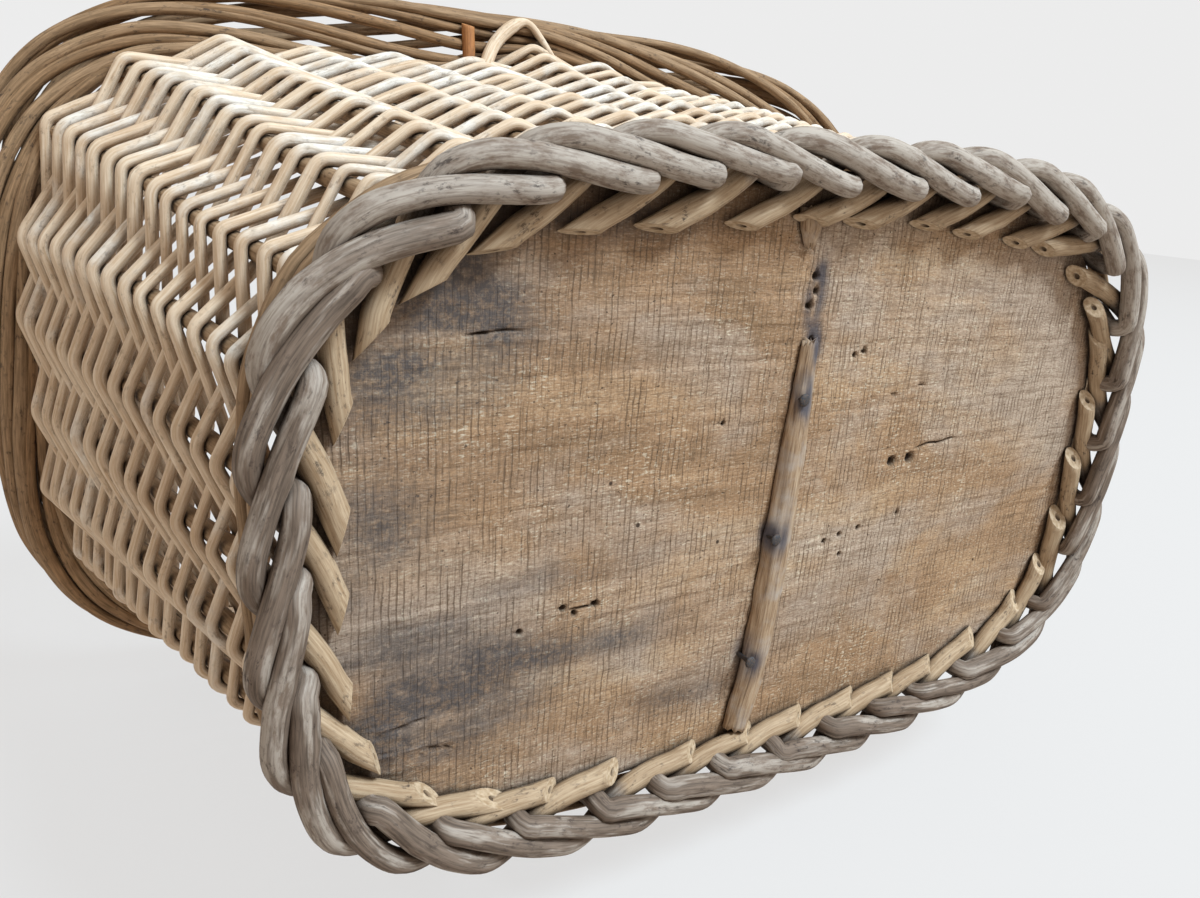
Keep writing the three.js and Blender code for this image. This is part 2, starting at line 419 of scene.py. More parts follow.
def knotty_radius(base, along, sides, seed, rough=0.03):
    """A rod's radius: slow swelling, fine unevenness round it, and a few leaf knots."""
    swell = 1 + rough * wander(along, 18, (*seed, 1))
    fine = 1 + 0.5 * rough * wander(along, 6, (*seed, 2), sides)
    radius = np.asarray(base)[:, None] * swell * fine
    random = rng(*seed, 3)
    angle = np.linspace(0, 2 * np.pi, sides, endpoint=False)
    for at in np.arange(random.uniform(0, KNOT_SPACING), along[-1], KNOT_SPACING):
        where = random.uniform(0, 2 * np.pi)
        place = at + random.uniform(-KNOT_STRAY, KNOT_STRAY)
        round_it = np.exp(4 * (np.cos(angle - where) - 1))
        radius = radius * (1 + KNOT_SIZE * hump(along, place, KNOT_REACH)[:, None] * round_it)
    return radius


# ---- Materials ----
class Shader:
    """Short calls for building the nodes of a material or a world."""

    def __init__(self, owner):
        self.owner = owner
        owner.use_nodes = True
        self.tree = owner.node_tree
        self.tree.nodes.clear()

    def node(self, kind, inputs=None, **settings):
        made = self.tree.nodes.new("ShaderNode" + kind)
        for key, value in settings.items():
            setattr(made, key, value)
        for key, value in (inputs or {}).items():
            if isinstance(value, bpy.types.NodeSocket):
                self.tree.links.new(value, made.inputs[key])
            else:
                made.inputs[key].default_value = value
        return made

    def attribute(self, name, output="Fac"):
        return self.node("Attribute", attribute_name=name).outputs[output]

    def place(self):
        return self.node("TexCoord").outputs["Object"]

    def noise(self, vector, scale, detail=3.0, roughness=0.55, stretch=None, distortion=0.0):
        if stretch:
            vector = self.node("Mapping", {"Vector": vector, "Scale": stretch}).outputs["Vector"]
        return self.node("TexNoise", {"Vector": vector, "Scale": scale, "Detail": detail,
                         "Roughness": roughness, "Distortion": distortion}).outputs["Fac"]

    def ramp(self, factor, *stops):
        made = self.node("ValToRGB", {"Fac": factor})
        elements = made.color_ramp.elements
        while len(elements) < len(stops):
            elements.new(0.5)
        for element, (position, colour) in zip(elements, stops):
            element.position = position
            value = colour if isinstance(colour, tuple) else (colour,) * 3
            element.color = (*value, 1)
        return made.outputs["Color"]

    def mix(self, factor, a, b, blend="MIX"):
        made = self.node("Mix", data_type="RGBA", blend_type=blend)
        for socket, value in ((0, factor), (6, a), (7, b)):
            if isinstance(value, bpy.types.NodeSocket):
                self.tree.links.new(value, made.inputs[socket])
            elif isinstance(value, tuple):
                made.inputs[socket].default_value = (*value, 1)
            else:
                made.inputs[socket].default_value = value
        return made.outputs[2]

    def math(self, operation, a, b=0.0, clamp=False):
        return self.node("Math", {0: a, 1: b}, operation=operation, use_clamp=clamp).outputs[0]

    def times(self, a, b, clamp=False):
        return self.math("MULTIPLY", a, b, clamp)

    def laid(self, base, *layers):
        """Colours laid over a base. Each layer is (mask, first stop, last stop, colour)."""
        for mask, first, last, colour in layers:
            base = self.mix(self.ramp(mask, first, last), base, colour)
        return base

    def crevice_shaded(self, colour, reach, shade_colour, start=0.5):
        """Painted shade: darker colour where surfaces come close together, found by ambient occlusion.
        `start` is how open the first of it lies.
        """
        shut = self.node("AmbientOcclusion", {"Distance": reach}, samples=6).outputs["AO"]
        shade_share = self.ramp(shut, (0.2 * start, 0.97), (0.6 * start, 0.55), (start, 0.0))
        return self.mix(shade_share, colour, shade_colour)

    def finish(self, colour, roughness, height, bump=0.4, distance=0.0004, gloss=0.3):
        normal = self.node("Bump", {"Height": height, "Strength": bump, "Distance": distance})
        shader = self.node("BsdfPrincipled", {"Base Color": colour, "Roughness": roughness,
                           "Normal": normal.outputs["Normal"], "Specular IOR Level": gloss})
        return self.output(shader)

    def output(self, shader, kind="OutputMaterial"):
        self.node(kind, {"Surface": shader.outputs[0]})
        return self.owner


PITH = (0.10, 0.065, 0.04)
# Colour of the painted shade in the willow's crevices.
ROD_CREVICE_SHADE = (0.03, 0.016, 0.009)


def willow(name, pale, deep, aged, aged_deep, stain, stain_share=0.5, brown=(0.3, 0.18, 0.09), gloss=0.3,
           crevice_shade_reach=0.008, crevice_shade_start=0.56):
    """Peeled willow: streaks, blotches, an aged skin, and cut ends with a pith."""
    s = Shader(bpy.data.materials.new(name))
    grain = s.attribute("grain", "Vector")
    streaks = s.noise(grain, 1500, 4, 0.6, (1, 1, 0.06))
    fine = s.noise(grain, 4500, 2, 0.6, (1, 1, 0.12))
    blotch = s.noise(grain, 90, 4, 0.6)
    flakes = s.noise(grain, 420, 5, 0.68, (1, 1, 0.3))
    patch = s.noise(s.place(), 28, 3, 0.55)
    young = s.laid(deep, (streaks, (0.34, 0.0), (0.66, 1.0), pale))
    browned = s.laid(tuple(0.35 * c for c in brown), (streaks, (0.32, 0.0), (0.70, 1.0), brown))
    brownness = s.attribute("brown")
    young = s.mix(brownness, young, browned)
    old = s.laid(aged_deep, (flakes, (0.36, 0.0), (0.52, 1.0), aged),
                 (streaks, (0.36, 0.6), (0.48, 0.0), aged_deep))
    strips = s.noise(grain, 260, 3, 0.6, (1, 1, 0.12))
    # Darker strips on the aged skin; on the foot they also carry painted shade on the sides away from
    # the lamp.
    damp_and_shade_colour = s.laid(tuple(0.45 * c for c in aged_deep), (streaks, (0.34, 0.0), (0.62, 1.0), aged_deep))
    damp_and_shade = s.times(brownness, s.ramp(strips, (0.42, 0.35), (0.55, 1.6)), True)
    old = s.mix(damp_and_shade, old, damp_and_shade_colour)
    age = s.math("ADD", s.attribute("age"), s.times(s.math("SUBTRACT", blotch, 0.5), 0.9))
    young = s.mix(s.ramp(patch, (0.3, 0.0), (0.75, 0.35)), young, deep, "MULTIPLY")
    skin = s.laid(young, (age, (0.35, 0.0), (0.65, 1.0), old))
    spots = s.noise(grain, 700, 5, 0.7, (1, 1, 0.5))
    spotted = s.ramp(blotch, (0.42, 0.0), (0.6, 1.0))
    dark = s.times(s.ramp(spots, (0.54, 0.0), (0.65, 1.0)), spotted)
    skin = s.mix(s.times(dark, stain_share), skin, stain)
    core = s.attribute("core")
    wood = s.laid(deep, (s.noise(grain, 900, 3), (0.35, 0.0), (0.65, 1.0), pale),
                  (core, (0.9, 0.0), (1.0, 0.6), aged_deep), (core, (0.2, 1.0), (0.34, 0.0), PITH))
    colour = s.mix(s.attribute("cut"), skin, wood)
    # Painted shade: the colour darkens in the crevices between rods and strands.
    colour = s.crevice_shaded(colour, crevice_shade_reach, ROD_CREVICE_SHADE, crevice_shade_start)
    rough = s.math("ADD", 0.5, s.times(blotch, 0.3))
    height = s.math("ADD", s.times(streaks, 0.7), s.times(fine, 0.3))
    return s.finish(colour, rough, height, 0.5, 0.0003, gloss)


ROD_WILLOW = willow(
    "rod_willow", pale=(0.58, 0.45, 0.31), deep=(0.36, 0.245, 0.145), aged=(0.45, 0.392, 0.335),
    aged_deep=(0.21, 0.155, 0.118), stain=(0.04, 0.028, 0.025), stain_share=0.8,
    brown=(0.37, 0.21, 0.10), gloss=0.15)
WEAVER_WILLOW = willow(
    "weaver_willow", pale=(0.80, 0.665, 0.51), deep=(0.58, 0.415, 0.27), aged=(0.77, 0.715, 0.64),
    aged_deep=(0.53, 0.44, 0.345), stain=(0.11, 0.06, 0.035), gloss=0.28,
    crevice_shade_reach=0.013, crevice_shade_start=0.62)
HANDLE_WILLOW = willow(
    "handle_willow", pale=(0.52, 0.23, 0.08), deep=(0.30, 0.12, 0.04), aged=(0.36, 0.22, 0.13),
    aged_deep=(0.16, 0.09, 0.05), stain=(0.05, 0.03, 0.02))


def tooth_lines(s, place):
    """Where the saw's teeth left fine broken lines across the plank."""
    teeth = s.node("TexWave", {"Vector": place, "Scale": 157.0, "Distortion": 2.2, "Detail": 2.0,
                   "Detail Scale": 0.6}, wave_type="BANDS", bands_direction="X").outputs["Fac"]
    broken = s.noise(place, 210, 3, 0.6, (1, 0.3, 1))
    return s.times(s.ramp(teeth, (0.0, 0.7), (0.06, 0.5), (0.2, 0.0)),
                   s.ramp(broken, (0.42, 0.05), (0.58, 1.0)))


def worm_dots(s, place):
    """Where small worm holes are: a dot in about one cell of five."""
    cells = s.node("TexVoronoi", {"Vector": place, "Scale": 95.0, "Randomness": 1.0})
    chance = s.node("SeparateColor", {0: cells.outputs["Color"]}).outputs[0]
    few = s.ramp(chance, (0.80, 0.0), (0.82, 1.0))
    return s.times(s.ramp(cells.outputs["Distance"], (0.055, 0.95), (0.085, 0.0)), few)


def board_material():
    """Rough-sawn softwood. Its attributes are mould (age), iron stain (brown) and holes (cut)."""
    s = Shader(bpy.data.materials.new("board_wood"))
    place = s.place()
    broad = s.noise(place, 42, 4, 0.6, (0.3, 1, 1), 0.5)
    grey = s.noise(place, 24, 5, 0.62, (0.5, 1, 1), 0.5)
    fuzz = s.noise(place, 2000, 3, 0.6, (0.4, 1, 1))
    grain = s.noise(place, 1000, 5, 0.66, (0.09, 1, 1), 0.1)
    saw = s.noise(place, 900, 4, 0.7, (1, 0.07, 1))
    wood = s.ramp(broad, (0.30, (0.28, 0.168, 0.088)), (0.46, (0.385, 0.232, 0.127)),
                  (0.60, (0.475, 0.30, 0.168)), (0.74, (0.555, 0.405, 0.268)))
    wood = s.laid(wood, (grey, (0.45, 0.0), (0.62, 0.75), (0.455, 0.362, 0.29)),
                  (fuzz, (0.36, 0.55), (0.5, 0.0), (0.20, 0.125, 0.075)),
                  (fuzz, (0.56, 0.0), (0.68, 0.5), (0.66, 0.55, 0.42)),
                  (grain, (0.36, 0.5), (0.48, 0.0), (0.17, 0.105, 0.06)),
                  (saw, (0.34, 0.55), (0.46, 0.0), (0.16, 0.10, 0.055)))
    lines = tooth_lines(s, place)
    wood = s.mix(lines, wood, (0.13, 0.08, 0.045))
    tears = s.noise(place, 1500, 2, 0.5, (0.28, 1, 1))
    torn = s.times(s.ramp(tears, (0.56, 0.0), (0.66, 0.9)), s.ramp(saw, (0.44, 0.0), (0.56, 1.0)))
    torn = s.times(torn, s.ramp(s.noise(place, 38, 3, 0.6), (0.42, 0.15), (0.6, 1.0)))
    wood = s.mix(torn, wood, (0.66, 0.56, 0.42))
    # Painted shade: pits and small worm holes are dark dots, for the shade inside them.
    pits = s.noise(place, 900, 2, 0.5, (0.8, 1, 1))
    wood = s.laid(wood, (pits, (0.27, 0.85), (0.33, 0.0), (0.06, 0.035, 0.02)))
    wood = s.mix(worm_dots(s, place), wood, (0.035, 0.02, 0.012))
    specks = s.noise(place, 420, 6, 0.8)
    mould = s.times(s.attribute("age"), s.ramp(specks, (0.34, 0.45), (0.56, 1.0)))
    wood = s.mix(mould, wood, (0.085, 0.073, 0.07))
    wood = s.mix(s.attribute("brown"), wood, (0.05, 0.05, 0.065))
    # Painted shade: holes and cracks are coloured nearly black, for the shade inside them.
    wood = s.mix(s.attribute("cut"), wood, (0.02, 0.012, 0.008))
    # Painted shade: the plank darkens in its hollows and where the rods come close to it.
    wood = s.crevice_shaded(wood, 0.012, (0.05, 0.03, 0.018))
    height = s.math("ADD", s.times(grain, 0.6), s.times(saw, 0.5))
    height = s.math("SUBTRACT", height, s.times(lines, 0.4))
    return s.finish(wood, 0.82, height, 0.9, 0.0007, 0.2)


BOARD_WOOD = board_material()


def split_rod_material():
    """Torn fibres along the rod, greyed in places, with iron stain in `brown`."""
    s = Shader(bpy.data.materials.new("split_rod"))
    grain = s.attribute("grain", "Vector")
    fibres = s.noise(grain, 1600, 5, 0.65, (1, 1, 0.05))
    blotch = s.noise(grain, 110, 4, 0.6)
    colour = s.ramp(fibres, (0.30, (0.15, 0.09, 0.05)), (0.5, (0.36, 0.24, 0.145)),
                    (0.7, (0.50, 0.37, 0.25)))
    colour = s.laid(colour, (blotch, (0.45, 0.0), (0.7, 0.8), (0.42, 0.36, 0.31)))
    colour = s.mix(s.attribute("brown"), colour, (0.045, 0.05, 0.075))
    return s.finish(colour, 0.8, fibres, 0.6, 0.0004)


SPLIT_ROD = split_rod_material()


def iron_material():
    """Nearly black old iron with a little rust."""
    s = Shader(bpy.data.materials.new("old_iron"))
    place = s.place()
    rust = s.noise(place, 1800, 4, 0.6)
    colour = s.ramp(rust, (0.35, (0.035, 0.038, 0.048)), (0.55, (0.07, 0.06, 0.055)),
                    (0.72, (0.16, 0.08, 0.045)))
    return s.finish(colour, 0.62, rust, 0.5, 0.0003)


OLD_IRON = iron_material()


# ---- Rods: one stake each, from its cut end in the foot border to its end in the rim border ----
# Each place is (steps travelled from the elbow, outwards from the stakes' line, height).
FOOT_TRAVEL = (
    (3.60, -12.6, 10.6), (3.30, -9.6, 10.7), (3.00, -6.7, 10.8), (2.75, -3.4, 10.8),
    (2.52, 0.4, 10.6), (2.28, 5.4, 10.2), (2.02, 9.6, 8.0), (1.70, 10.4, 5.2),
    (1.30, 8.0, 4.1), (0.90, 5.0, 3.6), (0.50, 2.0, 3.4), (0.20, 0.3, 3.4),
    (0.05, 0.0, 3.9), (0.0, 0.0, 6.6), (0.0, 0.0, 10.0),
)
ELBOW_LEAN = 0.22  # an elbow springs this share of a step beyond its stake
# Each place is (steps travelled from the stake, share of the way out to the rim's edge, height).
RIM_TRAVEL = (
    (0.10, 0.02, 207.0), (0.4, 0.05, 208.6), (0.9, 0.14, 209.2), (1.8, 0.36, 209.8),
    (2.7, 0.60, 210.8), (3.7, 0.82, 213.0), (4.6, 0.96, 217.0), (5.5, 1.00, 221.0),
    (6.4, 0.95, 225.2), (7.5, 0.77, 227.8), (8.7, 0.54, 228.0), (9.9, 0.30, 227.0),
    (11.1, 0.08, 224.2), (12.2, -0.10, 220.4), (13.2, -0.20, 216.2), (14.0, -0.26, 213.6),
)
ROD_SIDES = 14
LEAN_HEIGHT = 16.5
UPRIGHT_HEIGHTS = np.array([23, 30, 45, 70, 100, 130, 160, 185, 200.0])
RIM_CORNER = (20.9, 1.6, 3.0)  # its squarer corner: middle and reach in steps, and how far out
# How far inside the stakes' line the cut ends lie, and how much further on the -X, -Y and +X sides.
END_REACH, END_REACH_LEFT, END_REACH_FRONT, END_REACH_RIGHT = 5.6, 5.2, 7.0, 1.0
ELBOW_SPREAD = 2.2  # how far an elbow strays in or out
END_SPREAD = 1.4  # how far a cut end strays
RIM_RISE_SPREAD = (-1.4, 1.6)  # how far a rim strand strays in height
LEFT_OR_FRONT = 0.62  # share of the way out to -X or -Y beyond which an end is on that side
# Lengths along a rod: end of the thick foot, start of the wall, top of the wall, start of the thin rim.
ROD_LENGTHS = (105, 128, 295, 350)


def rim_point(step, share, z):
    """A point of the rim border, by its share of the way from the stakes' line to the rim's edge."""
    inner = wall_point(step, WALL_HIGH)[..., :2]
    middle, reach, size = RIM_CORNER
    square = size * hump(np.mod(step, STAKE_COUNT), middle, reach)
    outer = RIM_CENTRE + on_unit(step) * RIM_EDGE + outward(step, RIM_EDGE) * square[..., None]
    return np.concatenate([inner + (outer - inner) * share[..., None], z[..., None]], -1)


def end_reach(step):
    """How far inside the stakes' line a rod's cut end lies: furthest along the -Y side."""
    out_x, out_y = outward(step, FOOT_LINE)
    left = END_REACH_LEFT * max(0.0, -out_x) ** 2
    front = END_REACH_FRONT * max(0.0, -out_y) ** 2
    return END_REACH + left + front + END_REACH_RIGHT * max(0.0, out_x) ** 2


def foot_course(index, random):
    """A rod's course in the foot border, from its cut end to where it turns up."""
    foot = np.array(FOOT_TRAVEL)
    ease = rising(foot[:, 0], 0, 2)
    foot[:, 0] *= 1 + random.uniform(-0.05, 0.04) * ease
    at_elbow = np.clip(1 - foot[:, 0] / 1.2, 0, 1) * (foot[:, 2] < 6)
    foot[:, 1] += wander_once(random, ELBOW_SPREAD) * at_elbow
    inside = np.clip((foot[:, 0] - 2.4) / 1.2, 0, 1)
    reach = end_reach(index - foot[0, 0]) + random.uniform(-END_SPREAD, END_SPREAD)
    foot[:, 1] += (-FOOT_TRAVEL[0][1] - reach) * inside
    foot[:, 2] += random.uniform(-0.5, 0.2) * inside
    base_step = stake_step(index, 16.0) + ELBOW_LEAN + random.uniform(-0.06, 0.08)
    course = wall_point(base_step - foot[:, 0], foot[:, 2] * 0 + WALL_LOW, foot[:, 1])
    course[:, 2] = foot[:, 2]
    return course


def rim_course(index, random):
    """A rod's course in the rim border, from the top of the wall to its end."""
    rim = np.array(RIM_TRAVEL)
    loose = rising(rim[:, 0], 0, 2)
    rim[:, 0] *= 1 + random.uniform(-0.06, 0.06) * loose
    rim[:, 1] += random.uniform(-0.10, 0.08) * loose * (rim[:, 0] > 0.7)
    rim[:, 1] = np.clip(rim[:, 1], -0.35, 1)
    rim[:, 2] += np.clip(random.normal(0, 1.1), *RIM_RISE_SPREAD) * loose * (rim[:, 2] < 221)
    top_step = stake_step(index, 200.0)
    return rim_point(top_step - rim[:, 0], rim[:, 1], rim[:, 2])


def rod_path(index):
    random = rng(2, index)
    low = foot_course(index, random)
    lean = wall_point(index + 0.12, LEAN_HEIGHT, stake_bow(LEAN_HEIGHT))
    step = stake_step(index, UPRIGHT_HEIGHTS)
    upright = wall_point(step, UPRIGHT_HEIGHTS, stake_bow(UPRIGHT_HEIGHTS))
    return smooth_path(np.concatenate([low, lean[None], upright, rim_course(index, random)]), 2.4)


def rod_radius(path, index):
    """Thick at the foot, thinning upwards, and thinner again along the rim."""
    random = rng(3, index)
    along = lengths_along(path)
    foot = FOOT_ROD_RADIUS * random.uniform(0.93, 1.1)
    rim = RIM_ROD_RADIUS * random.uniform(0.85, 1.12)
    stops = (0, *ROD_LENGTHS, along[-1])
    sizes = (foot, foot, *STAKE_RADIUS, rim, rim * 0.8)
    return np.interp(along, stops, sizes), along


def end_cut(tip, travel, radius):
    """The cut at a rod's end in the foot border, and the length of rod that it takes up.

    On the -X and -Y sides it runs along the plank's edge. On the others it faces down and back.
    """
    plan = (tip[:2] - BOARD_CENTRE) / FOOT_LINE
    inward = -np.sign(plan) * np.abs(plan) ** (OUTLINE_POWER - 1) / FOOT_LINE
    inward = np.append(inward / np.linalg.norm(inward), 0.0)
    if max(-plan[0], -plan[1]) > LEFT_OR_FRONT:
        cut = inward + 0.35 * travel + 0.35 * DOWN
    else:
        cut = travel + 1.2 * DOWN + 0.3 * inward
    cut /= np.linalg.norm(cut)
    facing = travel @ cut
    return -cut, radius * math.sqrt(1 - facing * facing) / facing + 1.0


def rod_colours(index, height, along, random):
    """How grey and how brown a rod is along its length: the foot is grey and somewhat brown, and much
    browner on the sides away from the lamp, which is painted shade.
    """
    rim_brown = rising(height, 196, 206) * random.uniform(0.6, 1.0)
    grey = rising(height, 30, 18) * np.clip((along - 22) / 16, 0.12, 1) * 0.95
    # Painted shade: the foot's rods turn browner and darker on the sides away from the lamp.
    shaded_side = 1 - max(0.0, -outward(index - 1.5, FOOT_LINE)[1])
    foot_brown_and_shade = grey * random.uniform(0.6, 1.05) * (0.15 + 0.85 * shaded_side)
    wall_brown = 0.55 * rising(height, 26, 32) * rising(height, 206, 198)
    return grey, np.maximum(np.maximum(rim_brown, foot_brown_and_shade), wall_brown)


def make_rod(index):
    path = rod_path(index)
    base, along = rod_radius(path, index)
    radius = knotty_radius(base, along, ROD_SIDES, (4, index))
    direction = directions(path)
    side, lift = carried_axes(direction, (0, 0, 1))
    random = rng(5, index)
    grey, brown = rod_colours(index, path[:, 2], along, random)
    shift = random.uniform(0, 900, 3)
    cut, cleared = end_cut(path[0], -direction[0], base[0])
    keep = along > cleared
    keep[0] = True
    parts = MeshParts()
    add_tube(parts, path[keep], radius[keep], (side[keep], lift[keep]), shift, age=grey[keep],
             brown=brown[keep], cuts=(cut, None))
    parts.object("rod_%02d" % (index + 1), ROD_WILLOW, "stake_willow",
                 STAKES[index], "foot_border", "rim_border")


# ---- Weaving ----
ROW_SIDES = 10
ROW_HEIGHTS = np.linspace(ROW_LOW, ROW_HIGH, ROW_COUNT)
BEND_SHARE = 0.10  # how much of the way to the next stake the weaver bends over
WEAVER_LENGTH = (420, 620)


def ring_wander(size, seed):
    """A value at each stake, up to about `size` either way, that changes slowly round the basket."""
    random = rng(*seed)
    turn = np.arange(STAKE_COUNT) / STAKE_COUNT * 2 * np.pi
    waves = [random.uniform(0.3, 1) * np.cos(times * turn + random.uniform(0, 2 * np.pi))
             for times in (2, 3, 5, 7, 9)]
    return size * np.sum(waves, 0) / 2


def weaver_radius(row):
    return WEAVER_RADIUS[0] + (WEAVER_RADIUS[1] - WEAVER_RADIUS[0]) * row / (ROW_COUNT - 1)


def row_corners(row):
    """Where a row's centre line would turn at each stake if it had sharp bends."""
    index = np.arange(STAKE_COUNT)
    random = rng(6, row)
    z = ROW_HEIGHTS[row] + ring_wander(0.8, (10, row)) + random.uniform(-0.4, 0.4, STAKE_COUNT)
    step = np.array([stake_step(i, z[i]) for i in index])
    share = (z - ROW_LOW) / (ROW_HIGH - ROW_LOW)
    clear = STAKE_RADIUS[0] + (STAKE_RADIUS[1] - STAKE_RADIUS[0]) * share + weaver_radius(row)
    side = np.where((index + row) % 2 == 0, 1.0, -1.0)
    crest = stake_bow(z) + side * clear * random.uniform(1.0, 1.16, STAKE_COUNT)
    nearby = (np.roll(crest, 1) + np.roll(crest, -1)) / 2
    return wall_point(step, z, crest + 0.55 * BEND_SHARE * (crest - nearby))


def row_path(row):
    """A closed weaver: straight from stake to stake, with a short round bend over each."""
    corners = row_corners(row)
    before, after = np.roll(corners, 1, axis=0), np.roll(corners, -1, axis=0)
    bend = BEND_SHARE * rng(11, row).uniform(0.75, 1.3, STAKE_COUNT)[:, None]
    start = corners + (before - corners) * bend
    end = corners + (after - corners) * bend
    over = [(1 - t) ** 2 * start + 2 * t * (1 - t) * corners + t * t * end
            for t in (0, 0.2, 0.4, 0.6, 0.8, 1)]
    following = np.roll(start, -1, axis=0)
    run = [end + (following - end) * t for t in (0.25, 0.5, 0.75)]
    return np.stack(over + run, 1).reshape(-1, 3)


def make_row(row):
    path = row_path(row)
    direction = directions(path, closed=True)
    side, lift = level_axes(direction)
    along = lengths_along(path)
    random = rng(7, row)
    # A weaver is thick at its butt and thin at its tip, and the next one takes over.
    rod_length = random.uniform(*WEAVER_LENGTH)
    share = np.mod(along + random.uniform(0, rod_length), rod_length) / rod_length
    taper = 1.1 - 0.22 * share + 0.22 * np.clip((share - 0.94) / 0.06, 0, 1)
    to_seam = rising(along[-1] - along, 0, 20)[:, None]
    uneven = 1 + 0.05 * wander(along, 14, (8, row), ROW_SIDES) * to_seam
    radius = weaver_radius(row) * random.uniform(0.9, 1.08) * taper[:, None] * uneven
    # Painted light: a row is paler and more neutral where it faces -Y, toward the lamp, through a larger
    # share of its aged colour.
    faces_lamp = np.clip(-side[:, 1], 0, 1) ** 2
    age = 0.2 + 0.24 * wander(along, 90, (9, row))[:, 0] + 0.3 * faces_lamp
    parts = MeshParts()
    add_tube(parts, path, radius, (side, lift), random.uniform(0, 900, 3), closed=True, age=age)
    parts.object("weave_row_%02d" % (row + 1), WEAVER_WILLOW, "weaver_willow",
                 BANDS[row * len(BANDS) // ROW_COUNT])


# Rods laid round outside the stakes between the foot border and the lowest row: height and radius.
PACKING = ((17.2, 1.9), (22.0, 2.0))
PACKING_BROWN = 0.62
PACKING_PLACES = 5  # points from one stake to the next


def make_packing(number):
    """A thin rod that runs round outside the stakes at the plank's level."""
    height, radius = PACKING[number]
    step = np.arange(PACKING_PLACES * STAKE_COUNT) / PACKING_PLACES
    turn = step * 2 * np.pi / STAKE_COUNT
    z = height + 0.35 * np.cos(5 * turn + number)
    clear = stake_bow(z) + STAKE_RADIUS[0] + radius + 0.15
    pulled_in = 0.25 * (1 - np.cos(step * 2 * np.pi))
    path = wall_point(step, z, clear - pulled_in)
    size = radius * (1 + 0.05 * np.cos(7 * turn + number))
    size = np.repeat(size[:, None], ROW_SIDES, 1)
    parts = MeshParts()
    add_tube(parts, path, size, level_axes(directions(path, closed=True)), 130.0 * (number + 1),
             closed=True, brown=PACKING_BROWN)
    parts.object("packing_rod_%d" % (number + 1), ROD_WILLOW, "weaver_willow", BANDS[0])


# ---- Plank ----
# Holes in the underside: place and radius.
WORM_HOLES = (((-89.5, 35.7), 1.0), ((-85.6, 38.2), 0.9), ((-78.1, 36.6), 1.0), ((-103.6, 40.3), 0.8),
              ((22.7, 30.7), 0.9), ((15.4, 32.0), 0.8), ((24.3, 38.6), 0.8), ((52.1, 26.9), 0.8),
              ((32.2, 29.6), 0.9), ((44.5, 6.0), 1.7), ((53.8, 5.6), 1.8), ((16.8, -34.6), 0.8),
              ((21.3, -35.6), 0.8), ((-36.2, -15.9), 0.7))
NAIL_HOLES = (((-5.5, -60.6), 1.2), ((-4.6, -55.9), 1.0), ((-6.3, -51.3), 1.1), ((-4.1, -39.9), 1.0))
# Broken cracks along the grain: middle, how far each way, and rise along X.
CRACKS = (((-113.9, -47.5), 9.0, -0.05), ((55.0, -21.8), 30.0, -0.09), ((67.0, 1.2), 12.0, -0.07),
          ((-139.0, 62.0), 8.0, -0.1), ((-132.0, 73.0), 13.0, -0.05), ((-82.0, 37.2), 6.0, 0.1))
HOLE_DEPTH = 2.2
CRACK_HALF_WIDTH = 0.4
FINE_REACH = 1.8  # how near a hole or a crack the grid is fine
EDGE_SHARE = 0.015  # the outermost part of the plank, where its edge is worn round


def grid_lines(half, fine_spots, coarse=1.5, fine=0.35):
    """Lines across -half..half, closer together near the fine spots."""
    lines = [-half]
    while lines[-1] < half:
        near = min(abs(lines[-1] - spot) for spot in fine_spots)
        step = fine if near < FINE_REACH else coarse
        lines.append(lines[-1] + step)
    return np.append(lines[:-1], half) / half


def to_outline(a, b):
    """Maps the square -1..1 onto the unit outline, straight out from the middle."""
    size = np.maximum(np.abs(a), np.abs(b))
    reach = (np.abs(a) ** OUTLINE_POWER + np.abs(b) ** OUTLINE_POWER) ** (1 / OUTLINE_POWER)
    ratio = np.where(size > 0, size / np.maximum(reach, 1e-9), 1.0)
    blend = size ** 3
    scale = 1 + (ratio - 1) * blend
    return a * scale, b * scale


def board_face_height(x, y):
    """How far the plank's sawn face is cut in at a place, and how deep in a hole it is."""
    cut = 0.18 * plane_noise(x, y * 0.2, 2.6, 1) + 0.22 * plane_noise(x * 0.06, y, 1.7, 2)
    cut = cut + 0.5 * plane_noise(x, y, 45, 3)
    rough_corner = rising(x, -95, -125) * rising(y, 35, 55)
    torn = 0.5 * np.abs(plane_noise(x * 0.25, y, 2.2, 21))
    torn = torn + 0.3 * np.abs(plane_noise(x * 0.4, y, 1.4, 22))
    cut = cut + rough_corner * torn
    hole = np.zeros_like(x)
    for (hx, hy), radius in WORM_HOLES + NAIL_HOLES:
        away = np.hypot(x - hx, y - hy) / radius
        hole = np.maximum(hole, np.clip(1.6 - away * 1.1, 0, 1))
    for (hx, hy), reach, rise in CRACKS:
        wave = 0.9 * plane_noise(x, x * 0, 6.0, 5) + rise * (x - hx)
        across = np.abs(y - hy - wave) / CRACK_HALF_WIDTH
        inside = np.clip(1 - (np.abs(x - hx) / reach) ** 2, 0, 1)
        inside = inside * np.clip(0.6 + 1.6 * plane_noise(x, x * 0 + hy, 3.5, 6), 0, 1)
        hole = np.maximum(hole, np.clip(1.3 - across, 0, 1) * inside)
    return cut + HOLE_DEPTH * hole, hole


# Dark mould on the underside: middle, spread along X and Y, and strength.
MOULD = (((-132, -52), (30, 17), 1.0), ((-146, -8), (16, 26), 0.5), ((-136, 52), (30, 22), 1.25),
         ((-72, 50), (24, 7), 0.6), ((-95, -78), (50, 7), 0.5), ((-38, 78), (26, 7), 0.45),
         ((-90, 24), (30, 5), 0.35))
IRON_STAIN = (4.2, 8.5)  # how far stains reach round the nails, along X and Y


